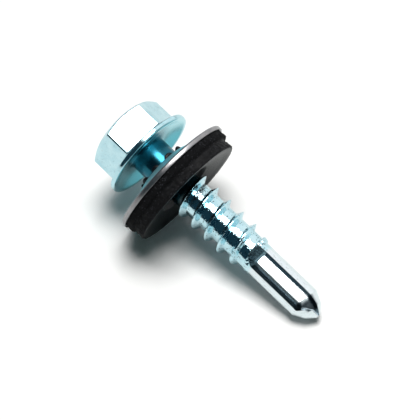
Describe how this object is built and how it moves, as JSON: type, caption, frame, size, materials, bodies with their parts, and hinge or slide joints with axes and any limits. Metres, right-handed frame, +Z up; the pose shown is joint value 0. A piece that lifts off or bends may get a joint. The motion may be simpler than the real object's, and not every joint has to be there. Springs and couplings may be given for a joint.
{
  "type": "self drilling screw",
  "caption": "Zinc plated hexagon washer head self drilling screw with a right-hand tapping thread, a fluted drill point and a loose bonded steel and rubber sealing washer.",
  "frame": {"origin": "centre of the outline seen from above, at floor level, with the screw lying at rest on the washer's rim and the drill point", "axes": "+X runs from the head to the drill point along the floor, +Z up; the screw's axis rises 16.4 degrees from the point towards the head in the XZ plane"},
  "size_m": [0.0281, 0.014, 0.0137],
  "materials": {
    "zinc_plated_steel": "bright blue-white zinc plating",
    "washer_steel": "galvanised, slightly duller than the screw",
    "black_rubber": "matt black rubber with a rough cut edge"
  },
  "bodies": {
    "screw": {"screw": "zinc_plated_steel"},
    "washer": {"steel_washer": "washer_steel", "rubber_washer": "black_rubber"}
  },
  "joints": [
    {"name": "washer_slide", "type": "slide", "parent": "screw", "child": "washer", "axis": [-0.9595, 0, 0.2816], "range_m": [0, 0.0019]}
  ]
}
